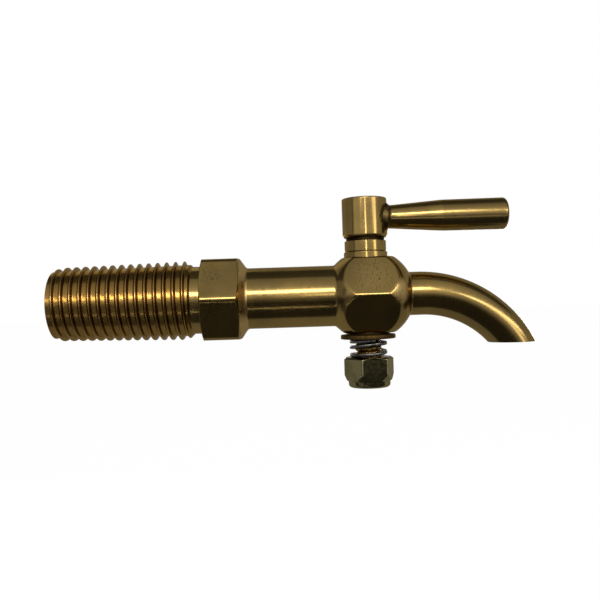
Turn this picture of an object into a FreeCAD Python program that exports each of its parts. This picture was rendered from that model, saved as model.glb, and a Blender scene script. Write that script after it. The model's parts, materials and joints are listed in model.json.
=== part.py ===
# Water butt tap: a brass lever plug tap with a taper tail, hexagon collar, ball body and curved spout.
# Frame: origin on the tail's axis at the collar's butt-side face, +X along the flow, +Z up.
import FreeCAD, Part
import math
import os

# Tail that screws into the butt: a taper with its thread as level ridges, a lead-in and a relief neck
TAIL_LENGTH = 44.4
TAIL_LEAD_DIAMETER = 20.4
TAIL_LEAD_LENGTH = 2.4
TAIL_END_DIAMETER = 22.0
TAIL_COLLAR_DIAMETER = 23.5
NECK_DIAMETER = 20.1
NECK_LENGTH = 2.8
THREAD_PITCH = 2.7
THREAD_CREST_WIDTH = 0.8

# Hexagon collar, with corners to the sides and flats above and below
COLLAR_FLATS = 23.9
COLLAR_LENGTH = 11.25
COLLAR_CORNER_CHAMFER = 0.6
COLLAR_SHOULDER_LENGTH = 1.95

# Barrel between the collar and the plug housing
BARREL_DIAMETER = 18.2

# Ball turned from hexagon bar that houses the plug
PLUG_X = 49.0
BALL_AHEAD_OF_PLUG = 0.6
BALL_DIAMETER = 27.3
BALL_FLATS = 22.6
BALL_END_LIP = 0.45
SEAT_RING_DIAMETER = 13.0
SEAT_RING_HEIGHT = 1.5
LOWER_RING_DIAMETER = 13.0
LOWER_RING_HEIGHT = 0.5

# Waterway
INLET_BORE = 10.0
INLET_BORE_DEPTH = 80.0
INLET_MOUTH_CHAMFER = 0.6
PORT_DIAMETER = 6.5

# Curved spout brazed into the ball
SPOUT_ROOT_DIAMETER = 13.0
SPOUT_TIP_DIAMETER = 11.5
SPOUT_WALL = 1.5
SPOUT_SOCKET_DEPTH = 4.0
SPOUT_STRAIGHT = 3.5
SPOUT_BEND_RADIUS = 32.3
SPOUT_DROP = 15.3
SPOUT_TURN_PAST_CUT = 15.0
SPOUT_SECTIONS = 6
SPOUT_JOINT_CLEARANCE = 0.02

# Tapered plug, its neck and the boss that carries the lever
PLUG_TOP_DIAMETER = 10.9
PLUG_TAPER = 10.0
PLUG_CLEARANCE = 0.04
PLUG_PULL_DOWN = 0.5
NECK_GAP = 0.2
PLUG_NECK_DIAMETER = 12.4
PLUG_NECK_HEIGHT = 3.1
GROOVE_DIAMETER = 11.4
GROOVE_HEIGHT = 1.0
BOSS_DIAMETER = 13.4
BOSS_HEIGHT = 11.75
BOSS_LOWER_ROUND = 0.8
BOSS_UPPER_ROUND = 0.4

# Lever brazed into the boss, flaring to a near-straight grip
LEVER_RISE = 0.2
LEVER_REACH = 42.5
LEVER_ROOT_DIAMETER = 7.0
LEVER_FLARE_REACH = 23.0
LEVER_FLARE_DIAMETER = 9.3
LEVER_TIP_DIAMETER = 9.5
LEVER_TIP_ROUND = 1.2
LEVER_TENON_DIAMETER = 5.5
LEVER_TENON_DEPTH = 4.0
LEVER_JOINT_CLEARANCE = 0.02
BRAZE_DIAMETER = 8.6
BRAZE_LENGTH = 1.3

# Threaded stud, washer, spring and lock nut that draw the plug down into its seat
STUD_DIAMETER = 8.0
STUD_CHAMFER = 0.8
STUD_IN_INSERT = 1.2
STACK_GAP = 0.02
WASHER_DIAMETER = 16.4
WASHER_HOLE = 8.5
WASHER_THICKNESS = 1.25
SPRING_OUTSIDE = 11.2
SPRING_WIRE_WIDTH = 1.3
SPRING_WIRE_HEIGHT = 1.0
SPRING_HEIGHT = 5.4
SPRING_LOWER_TURNS = 0.55
SPRING_LOWER_PITCH = 0.6
SPRING_MIDDLE_TURNS = 1.0
SPRING_UPPER_TURNS = 1.0
SPRING_UPPER_GAP = 0.1
SPRING_START_ANGLE = 90.0
NUT_FLATS = 13.4
NUT_HEX_HEIGHT = 6.6
NUT_CORNER_CHAMFER = 0.85
NUT_COLLAR_DIAMETER = 12.5
NUT_COLLAR_HEIGHT = 2.45
NUT_COLLAR_ROUND = 1.0
NUT_TURN = 15.0
NUT_THREAD_CLEARANCE = 0.02
INSERT_DIAMETER = 10.6
INSERT_HEIGHT = 2.0
INSERT_CLEARANCE = 0.02
NUT_LIP = 0.5

# Places that follow from the sizes above
BALL_X = PLUG_X + BALL_AHEAD_OF_PLUG
BALL_RADIUS = BALL_DIAMETER / 2
BALL_HALF_FLATS = BALL_FLATS / 2
SEAT_TOP = BALL_HALF_FLATS + SEAT_RING_HEIGHT
SEAT_BOTTOM = -BALL_HALF_FLATS - LOWER_RING_HEIGHT
PLUG_BOTTOM = SEAT_BOTTOM + PLUG_PULL_DOWN
NECK_BOTTOM = SEAT_TOP + NECK_GAP
GROOVE_BOTTOM = NECK_BOTTOM + PLUG_NECK_HEIGHT
BOSS_BOTTOM = GROOVE_BOTTOM + GROOVE_HEIGHT
BOSS_TOP = BOSS_BOTTOM + BOSS_HEIGHT
LEVER_Z = (BOSS_BOTTOM + BOSS_TOP) / 2 + LEVER_RISE
BALL_END_RADIUS = SPOUT_ROOT_DIAMETER / 2 + BALL_END_LIP
BALL_END_X = BALL_X + math.sqrt(BALL_RADIUS ** 2 - BALL_END_RADIUS ** 2)
SPOUT_START_X = BALL_END_X - SPOUT_SOCKET_DEPTH
BEND_START_X = BALL_END_X + SPOUT_STRAIGHT
WASHER_TOP = SEAT_BOTTOM - STACK_GAP
WASHER_BOTTOM = WASHER_TOP - WASHER_THICKNESS
SPRING_TOP = WASHER_BOTTOM - STACK_GAP
SPRING_BOTTOM = SPRING_TOP - SPRING_HEIGHT
NUT_TOP = SPRING_BOTTOM - STACK_GAP
NUT_HEX_BOTTOM = NUT_TOP - NUT_HEX_HEIGHT
NUT_BOTTOM = NUT_HEX_BOTTOM - NUT_COLLAR_HEIGHT
INSERT_BOTTOM = NUT_BOTTOM + NUT_LIP
INSERT_TOP = INSERT_BOTTOM + INSERT_HEIGHT
STUD_BOTTOM = INSERT_TOP - STUD_IN_INSERT

# Directions, turns in degrees, and how closely an edge's place and radius match when it is picked
FULL_TURN = 360.0
QUARTER_TURN = 90.0
HEXAGON_SIDES = 6
MATCH_TOLERANCE = 1e-6
X_AXIS = FreeCAD.Vector(1, 0, 0)
Y_AXIS = FreeCAD.Vector(0, 1, 0)
Z_AXIS = FreeCAD.Vector(0, 0, 1)
ORIGIN = FreeCAD.Vector(0, 0, 0)
PLUG_AXIS_POINT = FreeCAD.Vector(PLUG_X, 0, 0)


def turned_along_x(outline):
    """Turn an outline of (x, radius) points about the tail's axis."""
    points = [FreeCAD.Vector(x, 0, radius) for x, radius in outline]
    face = Part.Face(Part.makePolygon(points + points[:1]))
    return face.revolve(ORIGIN, X_AXIS, FULL_TURN)


def turned_about_plug(outline):
    """Turn an outline of (radius, z) points about the plug's axis."""
    points = [FreeCAD.Vector(PLUG_X + radius, 0, z) for radius, z in outline]
    face = Part.Face(Part.makePolygon(points + points[:1]))
    return face.revolve(PLUG_AXIS_POINT, Z_AXIS, FULL_TURN)


def rod_along_x(diameter, start, end):
    return Part.makeCylinder(diameter / 2, end - start, FreeCAD.Vector(start, 0, 0), X_AXIS)


def rod_on_plug(diameter, bottom, top):
    return Part.makeCylinder(diameter / 2, top - bottom, FreeCAD.Vector(PLUG_X, 0, bottom), Z_AXIS)


def hexagon_bar(across_flats, length, first_corner):
    """A hexagon bar standing on the XY plane, with a corner at the given angle in degrees."""
    corner_radius = across_flats / math.sqrt(3)
    corners = []
    for number in range(HEXAGON_SIDES):
        angle = math.radians(first_corner + FULL_TURN * number / HEXAGON_SIDES)
        corners.append(FreeCAD.Vector(math.cos(angle), math.sin(angle), 0) * corner_radius)
    return Part.Face(Part.makePolygon(corners + corners[:1])).extrude(Z_AXIS * length)


def hexagon_along_x(across_flats, start, end):
    """A hexagon bar along the tail's axis, with corners to the sides and flats above and below."""
    bar = hexagon_bar(across_flats, end - start, QUARTER_TURN)
    bar.rotate(ORIGIN, Y_AXIS, QUARTER_TURN)
    bar.translate(FreeCAD.Vector(start, 0, 0))
    return bar


def round_edges_at(shape, z, radius, size):
    """Round the circular edges of the given radius that lie at height z."""
    edges = []
    for edge in shape.Edges:
        if not isinstance(edge.Curve, Part.Circle):
            continue
        height_error = abs(edge.CenterOfMass.z - z)
        radius_error = abs(edge.Curve.Radius - radius)
        if max(height_error, radius_error) < MATCH_TOLERANCE:
            edges.append(edge)
    return shape.makeFillet(size, edges)


def plug_radius_at(z):
    return (PLUG_TOP_DIAMETER - (SEAT_TOP - z) / PLUG_TAPER) / 2


def tail_radius_at(x):
    """Radius over the tail's ridges, growing towards the collar."""
    share = (x + TAIL_LENGTH - TAIL_LEAD_LENGTH) / (TAIL_LENGTH - TAIL_LEAD_LENGTH)
    return (TAIL_END_DIAMETER + (TAIL_COLLAR_DIAMETER - TAIL_END_DIAMETER) * share) / 2


def make_tail():
    """The tail with its thread as level ridges: grooves as deep as the neck, one pitch apart."""
    neck_radius = NECK_DIAMETER / 2
    half_groove = (THREAD_PITCH - THREAD_CREST_WIDTH) / 2
    thread_start = -TAIL_LENGTH + TAIL_LEAD_LENGTH
    thread_end = -NECK_LENGTH - half_groove
    outline = [
        (-TAIL_LENGTH, 0),
        (-TAIL_LENGTH, TAIL_LEAD_DIAMETER / 2),
        (thread_start, tail_radius_at(thread_start)),
    ]
    grooves = int((thread_end - thread_start) / THREAD_PITCH)
    for number in range(grooves, 0, -1):
        left = thread_end - THREAD_PITCH * number
        middle = left + half_groove
        right = middle + half_groove
        outline += [(left, tail_radius_at(left)), (middle, neck_radius), (right, tail_radius_at(right))]
    outline += [(thread_end, tail_radius_at(thread_end)), (-NECK_LENGTH, neck_radius), (0, neck_radius), (0, 0)]
    return turned_along_x(outline)


def make_collar():
    """The collar: a hexagon with turned corners at both faces, and a cone down to the barrel."""
    barrel_radius = BARREL_DIAMETER / 2
    corner_radius = COLLAR_FLATS / math.sqrt(3)
    flat_radius = COLLAR_FLATS / 2
    envelope = turned_along_x([
        (0, 0),
        (0, flat_radius),
        (COLLAR_CORNER_CHAMFER, corner_radius),
        (COLLAR_LENGTH - COLLAR_CORNER_CHAMFER, corner_radius),
        (COLLAR_LENGTH, flat_radius),
        (COLLAR_LENGTH + COLLAR_SHOULDER_LENGTH, barrel_radius),
        (COLLAR_LENGTH + COLLAR_SHOULDER_LENGTH, 0),
    ])
    return envelope.common(hexagon_along_x(COLLAR_FLATS, 0, COLLAR_LENGTH + COLLAR_SHOULDER_LENGTH))


def make_ball():
    sphere = Part.makeSphere(BALL_RADIUS, FreeCAD.Vector(BALL_X, 0, 0))
    flats = hexagon_along_x(BALL_FLATS, BALL_X - BALL_RADIUS, BALL_END_X)
    upper_ring = rod_on_plug(SEAT_RING_DIAMETER, 0, SEAT_TOP)
    lower_ring = rod_on_plug(LOWER_RING_DIAMETER, SEAT_BOTTOM, 0)
    return sphere.common(flats).multiFuse([upper_ring, lower_ring])


def make_waterway():
    drill_tip = INLET_BORE_DEPTH - TAIL_LENGTH
    bore = rod_along_x(INLET_BORE, -TAIL_LENGTH, drill_tip)
    mouth = turned_along_x([
        (-TAIL_LENGTH, 0),
        (-TAIL_LENGTH, INLET_BORE / 2 + INLET_MOUTH_CHAMFER),
        (-TAIL_LENGTH + INLET_MOUTH_CHAMFER, INLET_BORE / 2),
        (-TAIL_LENGTH + INLET_MOUTH_CHAMFER, 0),
    ])
    port = rod_along_x(PORT_DIAMETER, drill_tip, BALL_END_X)
    socket = rod_along_x(SPOUT_ROOT_DIAMETER + 2 * SPOUT_JOINT_CLEARANCE, SPOUT_START_X, BALL_END_X)
    return bore.multiFuse([mouth, port, socket])


def make_plug_seat():
    return turned_about_plug([
        (0, SEAT_BOTTOM),
        (plug_radius_at(SEAT_BOTTOM) + PLUG_CLEARANCE, SEAT_BOTTOM),
        (plug_radius_at(SEAT_TOP) + PLUG_CLEARANCE, SEAT_TOP),
        (0, SEAT_TOP),
    ])


def make_tap_body():
    barrel = rod_along_x(BARREL_DIAMETER, COLLAR_LENGTH, PLUG_X)
    solid = make_tail().multiFuse([make_collar(), barrel, make_ball()])
    return solid.cut(make_waterway()).cut(make_plug_seat()).removeSplitter()


def curved_taper(root_diameter, tip_diameter):
    """A round taper that leaves the ball level and bends down past the spout's cut end."""
    centre = FreeCAD.Vector(BEND_START_X, 0, -SPOUT_BEND_RADIUS)
    turn_at_cut = math.acos(1 - SPOUT_DROP / (SPOUT_BEND_RADIUS + SPOUT_ROOT_DIAMETER / 2))
    turn = turn_at_cut + math.radians(SPOUT_TURN_PAST_CUT)
    sections = []
    for number in range(SPOUT_SECTIONS):
        share = number / (SPOUT_SECTIONS - 1)
        angle = turn * share
        place = centre + FreeCAD.Vector(math.sin(angle), 0, math.cos(angle)) * SPOUT_BEND_RADIUS
        direction = FreeCAD.Vector(math.cos(angle), 0, -math.sin(angle))
        radius = (root_diameter + (tip_diameter - root_diameter) * share) / 2
        sections.append(Part.Wire(Part.Circle(place, direction, radius).toShape()))
    bend = Part.makeLoft(sections, True, False)
    return bend.fuse(rod_along_x(root_diameter, SPOUT_START_X, BEND_START_X))


def make_spout():
    outside = curved_taper(SPOUT_ROOT_DIAMETER, SPOUT_TIP_DIAMETER)
    inside = curved_taper(SPOUT_ROOT_DIAMETER - 2 * SPOUT_WALL, SPOUT_TIP_DIAMETER - 2 * SPOUT_WALL)
    reach = SPOUT_SOCKET_DEPTH + SPOUT_STRAIGHT + SPOUT_BEND_RADIUS + SPOUT_ROOT_DIAMETER
    corner = FreeCAD.Vector(SPOUT_START_X, -reach / 2, -SPOUT_DROP - reach)
    below_cut = Part.makeBox(reach, reach, reach, corner)
    return outside.cut(inside).cut(below_cut)


def make_plug():
    boss_radius = BOSS_DIAMETER / 2
    stud_radius = STUD_DIAMETER / 2
    solid = turned_about_plug([
        (0, STUD_BOTTOM),
        (stud_radius - STUD_CHAMFER, STUD_BOTTOM),
        (stud_radius, STUD_BOTTOM + STUD_CHAMFER),
        (stud_radius, PLUG_BOTTOM),
        (plug_radius_at(PLUG_BOTTOM), PLUG_BOTTOM),
        (plug_radius_at(SEAT_TOP), SEAT_TOP),
        (plug_radius_at(SEAT_TOP), NECK_BOTTOM),
        (PLUG_NECK_DIAMETER / 2, NECK_BOTTOM),
        (PLUG_NECK_DIAMETER / 2, GROOVE_BOTTOM),
        (GROOVE_DIAMETER / 2, GROOVE_BOTTOM),
        (GROOVE_DIAMETER / 2, BOSS_BOTTOM),
        (boss_radius, BOSS_BOTTOM),
        (boss_radius, BOSS_TOP),
        (0, BOSS_TOP),
    ])
    solid = round_edges_at(solid, BOSS_BOTTOM, boss_radius, BOSS_LOWER_ROUND)
    solid = round_edges_at(solid, BOSS_TOP, boss_radius, BOSS_UPPER_ROUND)
    port = rod_along_x(PORT_DIAMETER, PLUG_X - PLUG_TOP_DIAMETER, PLUG_X + PLUG_TOP_DIAMETER)
    socket_start = PLUG_X + boss_radius - LEVER_TENON_DEPTH - LEVER_JOINT_CLEARANCE
    socket = rod_along_x(
        LEVER_TENON_DIAMETER + 2 * LEVER_JOINT_CLEARANCE, socket_start, PLUG_X + BOSS_DIAMETER)
    socket.translate(Z_AXIS * LEVER_Z)
    return solid.cut(port).cut(socket)


def make_lever():
    boss_radius = BOSS_DIAMETER / 2
    root_radius = LEVER_ROOT_DIAMETER / 2
    tip_x = PLUG_X + LEVER_REACH
    tip_radius = LEVER_TIP_DIAMETER / 2
    face_x = PLUG_X + boss_radius
    handle = turned_along_x([
        (PLUG_X, 0),
        (PLUG_X, BRAZE_DIAMETER / 2),
        (face_x, BRAZE_DIAMETER / 2),
        (face_x + BRAZE_LENGTH, root_radius),
        (PLUG_X + LEVER_FLARE_REACH, LEVER_FLARE_DIAMETER / 2),
        (tip_x, tip_radius),
        (tip_x, 0),
    ])
    tip_edges = []
    for edge in handle.Edges:
        is_circle = isinstance(edge.Curve, Part.Circle)
        if is_circle and abs(edge.CenterOfMass.x - tip_x) < MATCH_TOLERANCE:
            tip_edges.append(edge)
    handle = handle.makeFillet(LEVER_TIP_ROUND, tip_edges)
    handle.translate(Z_AXIS * LEVER_Z)
    handle = handle.cut(rod_on_plug(BOSS_DIAMETER + 2 * LEVER_JOINT_CLEARANCE, BOSS_BOTTOM, BOSS_TOP))
    tenon = rod_along_x(LEVER_TENON_DIAMETER, face_x - LEVER_TENON_DEPTH, face_x + BRAZE_LENGTH)
    tenon.translate(Z_AXIS * LEVER_Z)
    return handle.fuse(tenon).removeSplitter()


def make_tension_washer():
    disc = rod_on_plug(WASHER_DIAMETER, WASHER_BOTTOM, WASHER_TOP)
    return disc.cut(rod_on_plug(WASHER_HOLE, WASHER_BOTTOM, WASHER_TOP))


def make_spring():
    """Flat wire coiled with a low lower end, an open middle turn and a nearly closed upper turn."""
    coil_radius = (SPRING_OUTSIDE - SPRING_WIRE_WIDTH) / 2
    upper_pitch = SPRING_WIRE_HEIGHT + SPRING_UPPER_GAP
    end_rise = SPRING_LOWER_PITCH * SPRING_LOWER_TURNS + upper_pitch * SPRING_UPPER_TURNS
    middle_pitch = (SPRING_HEIGHT - SPRING_WIRE_HEIGHT - end_rise) / SPRING_MIDDLE_TURNS
    runs = [
        (SPRING_LOWER_PITCH, SPRING_LOWER_TURNS),
        (middle_pitch, SPRING_MIDDLE_TURNS),
        (upper_pitch, SPRING_UPPER_TURNS),
    ]
    edges = []
    height = SPRING_WIRE_HEIGHT / 2
    turned = 0.0
    for pitch, turns in runs:
        run = Part.makeHelix(pitch, pitch * turns, coil_radius)
        run.rotate(ORIGIN, Z_AXIS, FULL_TURN * turned)
        run.translate(Z_AXIS * height)
        edges.extend(run.Edges)
        height += pitch * turns
        turned += turns
    inner = coil_radius - SPRING_WIRE_WIDTH / 2
    outer = coil_radius + SPRING_WIRE_WIDTH / 2
    section = Part.makePolygon([
        FreeCAD.Vector(inner, 0, 0),
        FreeCAD.Vector(outer, 0, 0),
        FreeCAD.Vector(outer, 0, SPRING_WIRE_HEIGHT),
        FreeCAD.Vector(inner, 0, SPRING_WIRE_HEIGHT),
        FreeCAD.Vector(inner, 0, 0),
    ])
    spring = Part.Wire(edges).makePipeShell([section], True, True)
    if spring.Volume < 0:
        spring.reverse()
    spring.rotate(ORIGIN, Z_AXIS, SPRING_START_ANGLE)
    spring.translate(FreeCAD.Vector(PLUG_X, 0, SPRING_BOTTOM))
    return spring


def make_lock_nut():
    corner_radius = NUT_FLATS / math.sqrt(3)
    collar_radius = NUT_COLLAR_DIAMETER / 2
    bore_radius = STUD_DIAMETER / 2 + NUT_THREAD_CLEARANCE
    lip_radius = bore_radius + NUT_LIP
    envelope = turned_about_plug([
        (0, NUT_HEX_BOTTOM),
        (NUT_FLATS / 2, NUT_HEX_BOTTOM),
        (corner_radius, NUT_HEX_BOTTOM + NUT_CORNER_CHAMFER),
        (corner_radius, NUT_TOP - NUT_CORNER_CHAMFER),
        (NUT_FLATS / 2, NUT_TOP),
        (0, NUT_TOP),
    ])
    bar = hexagon_bar(NUT_FLATS, NUT_HEX_HEIGHT, NUT_TURN)
    bar.translate(FreeCAD.Vector(PLUG_X, 0, NUT_HEX_BOTTOM))
    collar = rod_on_plug(NUT_COLLAR_DIAMETER, NUT_BOTTOM, NUT_HEX_BOTTOM)
    collar = round_edges_at(collar, NUT_BOTTOM, collar_radius, NUT_COLLAR_ROUND)
    solid = envelope.common(bar).fuse(collar)
    solid = solid.cut(rod_on_plug(2 * bore_radius, NUT_BOTTOM, NUT_TOP))
    solid = solid.cut(rod_on_plug(2 * lip_radius, NUT_BOTTOM, INSERT_BOTTOM))
    pocket = rod_on_plug(INSERT_DIAMETER, INSERT_BOTTOM, INSERT_TOP)
    return solid.cut(pocket).removeSplitter()


def make_nut_insert():
    ring_bottom = INSERT_BOTTOM + INSERT_CLEARANCE
    ring_top = INSERT_TOP - INSERT_CLEARANCE
    ring = rod_on_plug(INSERT_DIAMETER - 2 * INSERT_CLEARANCE, ring_bottom, ring_top)
    hole = STUD_DIAMETER + 2 * NUT_THREAD_CLEARANCE
    return ring.cut(rod_on_plug(hole, INSERT_BOTTOM, INSERT_TOP))


def main():
    os.makedirs("parts", exist_ok=True)
    nodes = {
        "tap_body": make_tap_body,
        "spout": make_spout,
        "plug": make_plug,
        "lever": make_lever,
        "tension_washer": make_tension_washer,
        "spring": make_spring,
        "lock_nut": make_lock_nut,
        "nut_insert": make_nut_insert,
    }
    for name, make in nodes.items():
        shape = make()
        shape.exportStep("parts/" + name + ".step")
        print(name, shape.isValid(), len(shape.Solids), round(shape.Volume, 1))


main()
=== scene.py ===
import json
import math
from collections import namedtuple

import bpy
from bpy.props import FloatProperty, FloatVectorProperty, PointerProperty
from bpy.types import Operator, Panel, PropertyGroup
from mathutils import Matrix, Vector


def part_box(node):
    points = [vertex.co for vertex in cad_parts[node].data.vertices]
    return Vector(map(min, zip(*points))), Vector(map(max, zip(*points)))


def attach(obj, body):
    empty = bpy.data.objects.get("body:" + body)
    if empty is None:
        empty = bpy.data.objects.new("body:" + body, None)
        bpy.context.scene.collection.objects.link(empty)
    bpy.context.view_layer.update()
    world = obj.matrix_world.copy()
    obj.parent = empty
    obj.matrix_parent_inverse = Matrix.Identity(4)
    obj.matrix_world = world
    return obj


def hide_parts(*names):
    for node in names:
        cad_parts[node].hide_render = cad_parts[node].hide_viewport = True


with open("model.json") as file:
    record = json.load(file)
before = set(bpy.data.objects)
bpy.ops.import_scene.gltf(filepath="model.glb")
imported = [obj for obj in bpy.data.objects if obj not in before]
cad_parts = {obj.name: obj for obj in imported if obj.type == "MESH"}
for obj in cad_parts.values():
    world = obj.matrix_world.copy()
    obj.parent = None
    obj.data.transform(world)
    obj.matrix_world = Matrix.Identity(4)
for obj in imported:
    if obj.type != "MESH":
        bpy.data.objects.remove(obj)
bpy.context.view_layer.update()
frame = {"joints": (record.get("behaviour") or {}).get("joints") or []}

bl_info = {
    "name": "Water Butt Tap",
    "version": (1, 0, 0),
    "blender": (4, 5, 0),
    "location": "3D View > Sidebar > Tap",
    "description": "Models a brass lever tap for a water butt over its frame",
    "category": "Object",
}

MM = 0.001
MERGE = 1e-6
HEXAGON_SIDES = 6
TURNED_STEPS = 96
FLATS_STEPS = 240
THREAD_STEPS = 96
NUT_STEPS = 144
SMOOTH_ANGLE = math.radians(38)
BODY_SMOOTH_ANGLE = math.radians(60)
TURNED_EDGE = 0.12 * MM
NUT_CLEARANCE = 0.07 * MM
CARD_LENGTH = 1.2
CARD_MIDDLE = 0.03
LAMP_TINT = (1.0, 0.97, 0.92)
TAIL_TINT = (1.0, 0.9, 0.66)
# Places on the tap that its finish differs at
FINISH_PLACES = {
    "ball top": (0.0496, -0.0098, 0.0057),
    "collar flat": (0.0035, -0.0095, 0.0075),
    "barrel top": (0.0200, -0.0040, 0.0082),
    "spout joint": (0.0578, -0.0098, 0.0003),
    "lever joint": (0.0545, -0.0020, 0.0232),
}

# An axle is the line that a piece is turned about, with the direction where its outline is drawn
Axle = namedtuple("Axle", "origin along side")
PLUG_X = frame["joints"][0]["pos_m"][0]
LEVER_Z = (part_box("lever")[0].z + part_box("lever")[1].z) / 2
TAIL_AXLE = Axle(Vector((0, 0, 0)), Vector((1, 0, 0)), Vector((0, 0, 1)))
PLUG_AXLE = Axle(Vector((PLUG_X, 0, 0)), Vector((0, 0, 1)), Vector((1, 0, 0)))
LEVER_AXLE = Axle(Vector((0, 0, LEVER_Z)), Vector((1, 0, 0)), Vector((0, 0, 1)))
STUD_AXLE = Axle(Vector((0, 0, 0)), Vector((0, 0, 1)), Vector((1, 0, 0)))


def length(name, description, millimetres):
    """A size that a user can change, kept in metres."""
    return FloatProperty(
        name=name, description=description, default=millimetres * MM, min=0.0, unit="LENGTH")


def angle_size(name, description, degrees):
    """An angle that a user can change, kept in radians."""
    return FloatProperty(
        name=name, description=description, default=math.radians(degrees), subtype="ANGLE")


def colour(name, description, red, green, blue):
    """A colour that a user can change."""
    return FloatVectorProperty(
        name=name, description=description, default=(red, green, blue, 1.0),
        size=4, min=0.0, max=1.0, subtype="COLOR")


class TailSizes(PropertyGroup):
    pitch: length("Pitch", "Distance between the tail's crests", 2.7)
    depth: length("Depth", "Depth of the grooves between the crests", 1.15)
    crest_width: length("Crest width", "Width of the crests", 0.3)
    flank_width: length("Flank width", "Width of the flanks between the crests and the grooves", 0.5)
    end_crest: length("End crest", "Diameter over the crests at the free end", 22.0)
    collar_crest: length("Collar crest", "Diameter over the crests near the collar", 23.6)
    lead: length("Lead-in", "Diameter of the free end's edge", 20.4)
    lead_length: length("Lead-in length", "Length of the plain taper at the free end", 2.4)
    neck: length("Neck", "Diameter of the relief neck", 20.1)
    neck_length: length("Neck length", "Length of the relief neck", 2.8)
    bore: length("Inlet bore", "Diameter of the bore in the tail", 10.0)
    bore_chamfer: length("Bore chamfer", "Chamfer at the mouth of the bore", 0.6)
    crest_round: length("Crest round", "How softly the crests are rounded", 0.2)
    groove_round: length("Groove round", "How softly the flanks run into the grooves", 0.3)


class BodySizes(PropertyGroup):
    collar_flats: length("Collar flats", "Collar across its flats", 23.9)
    collar_length: length("Collar length", "Length of the hexagon collar", 11.25)
    corner_chamfer: length("Corner chamfer", "Length of the turned corners at the collar's faces", 0.6)
    shoulder: length("Shoulder", "Length of the cone from the collar to the barrel", 1.95)
    barrel: length("Barrel", "Diameter of the barrel", 18.2)
    ball: length("Ball", "Diameter of the plug housing", 27.3)
    ball_ahead: length("Ball ahead", "How far the ball's middle lies ahead of the plug", 0.6)
    ball_flats: length("Ball flats", "Plug housing across its flats", 22.6)
    fillet: length("Fillet", "How softly the barrel and the spout run into the ball", 0.5)
    edge_round: length("Edge round", "How softly the flats meet the turned faces", 0.3)
    crown: length("Crown", "How far the flats bulge from polishing", 0.08)
    collar_corner: length("Collar corners", "How softly the collar's corners are rounded", 1.15)
    ball_corner: length("Ball corners", "How softly the ball's corners are rounded", 0.65)
    seat_ring: length("Seat ring", "Diameter of the ring on top of the ball", 13.0)
    lower_ring: length("Lower ring", "Diameter of the ring under the ball", 13.0)


class SpoutSizes(PropertyGroup):
    root: length("Root", "Diameter where the spout leaves the ball", 13.0)
    tip: length("Tip", "Diameter at the end of the bend", 11.49)
    wall: length("Wall", "Thickness of the tube", 1.5)
    straight: length("Straight", "Straight run before the bend", 3.5)
    bend: length("Bend radius", "Radius of the bend at the tube's axis", 32.3)


class HandleSizes(PropertyGroup):
    neck: length("Neck", "Diameter of the plug's neck", 12.4)
    neck_gap: length("Neck gap", "Gap between the neck and the seat ring", 0.2)
    neck_height: length("Neck height", "Height of the plug's neck", 3.1)
    groove: length("Groove", "Diameter of the groove under the boss", 11.4)
    groove_height: length("Groove height", "Height of the groove under the boss", 1.0)
    boss: length("Boss", "Diameter of the boss", 13.4)
    boss_lower_round: length("Boss lower round", "Rounding of the boss's lower edge", 0.8)
    boss_upper_round: length("Boss upper round", "Rounding of the boss's upper edge", 0.4)
    lever_root: length("Lever root", "Diameter of the lever at the boss", 7.0)
    lever_flare: length("Lever flare", "Diameter where the grip begins", 9.3)
    lever_flare_reach: length("Flare reach", "Distance from the plug's axis to the grip", 23.0)
    lever_tip: length("Lever tip", "Diameter at the lever's end", 9.5)
    lever_tip_round: length("Lever tip round", "Rounding of the lever's end", 1.2)
    braze: length("Braze", "Diameter of the brazed joint at the boss", 8.6)
    braze_length: length("Braze length", "Length of the brazed joint", 1.1)


class StackSizes(PropertyGroup):
    stud: length("Stud", "Diameter over the stud's thread", 7.9)
    stud_root: length("Stud root", "Diameter at the bottom of the stud's thread", 6.6)
    stud_pitch: length("Stud pitch", "Pitch of the stud's thread", 1.25)
    washer_hole: length("Washer hole", "Diameter of the washer's hole", 8.5)
    wire_width: length("Wire width", "Width of the spring's flat wire", 1.3)
    wire_height: length("Wire height", "Height of the spring's flat wire", 1.0)
    nut_flats: length("Nut flats", "Lock nut across its flats", 13.4)
    nut_upper_chamfer: length("Nut upper chamfer", "Length of the turned corners at its upper face", 0.6)
    nut_lower_chamfer: length("Nut lower chamfer", "Length of the turned corners above its collar", 2.1)
    nut_corner: length("Nut corners", "How softly the nut's corners are rounded", 0.4)
    nut_collar: length("Nut collar", "Diameter of the lock nut's round collar", 12.5)
    nut_collar_height: length("Nut collar height", "Height of the lock nut's round collar", 2.0)
    nut_collar_round: length("Nut collar round", "Rounding of the collar's lower edge", 1.0)
    nut_turn: angle_size("Nut turn", "How far the nut's corner is turned from the spout", 10.0)


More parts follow.
